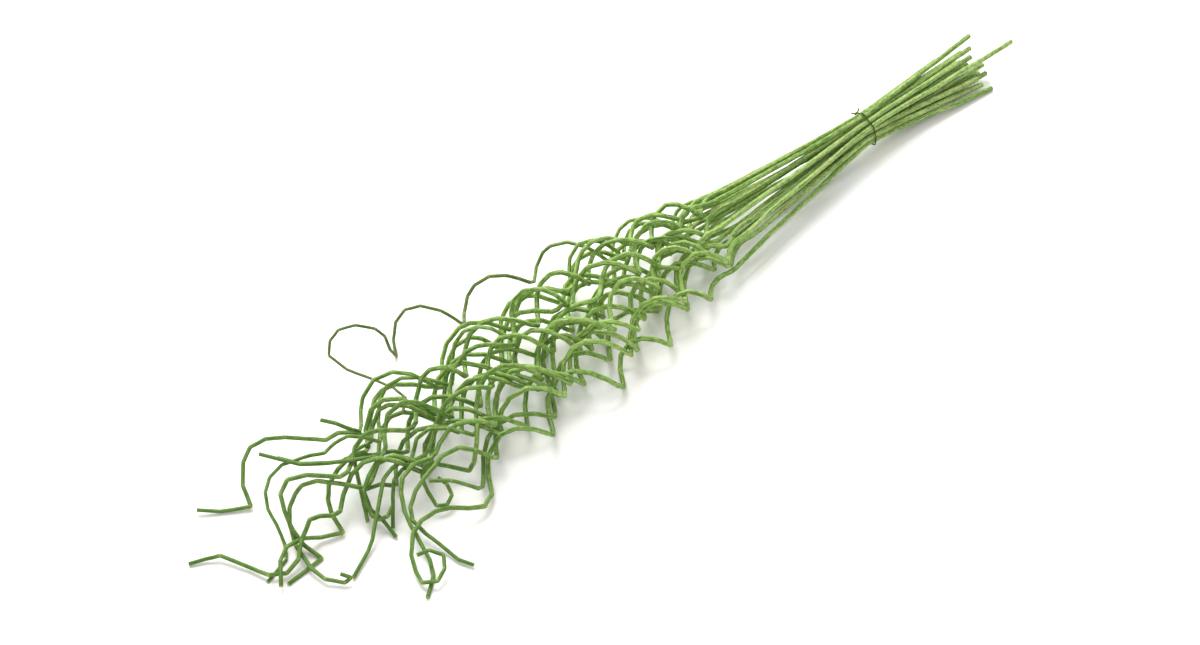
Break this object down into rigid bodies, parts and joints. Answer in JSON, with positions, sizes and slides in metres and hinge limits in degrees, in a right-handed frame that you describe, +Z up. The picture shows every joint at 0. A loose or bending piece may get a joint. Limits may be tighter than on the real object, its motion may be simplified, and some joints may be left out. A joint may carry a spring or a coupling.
{
  "type": "curly willow bunch",
  "caption": "Tied bunch of thin, green-dyed curled canes: straight butts held by a wire tie, with helical curls and free tips, lying down.",
  "frame": {"origin": "centre of the bounding box at the surface that the bunch lies on", "axes": "+X from the cut butts to the curled tips, +Z up from the surface, +Y to the side"},
  "size_m": [0.6896, 0.1772, 0.0488],
  "materials": {
    "dyed_cane": "matte dyed cane, lighter along the top, with brown and olive fades",
    "green_wire": "thin dark green lacquered wire"
  },
  "bodies": {
    "root": {"cane_01": "dyed_cane", "cane_02": "dyed_cane", "cane_03": "dyed_cane", "cane_04": "dyed_cane", "cane_05": "dyed_cane", "cane_06": "dyed_cane", "cane_07": "dyed_cane", "cane_08": "dyed_cane", "cane_09": "dyed_cane", "cane_10": "dyed_cane", "cane_11": "dyed_cane", "cane_12": "dyed_cane", "cane_13": "dyed_cane", "cane_14": "dyed_cane", "cane_15": "dyed_cane", "cane_16": "dyed_cane", "cane_17": "dyed_cane", "cane_18": "dyed_cane", "cane_19": "dyed_cane", "cane_20": "dyed_cane", "tie": "green_wire"}
  },
  "joints": []
}
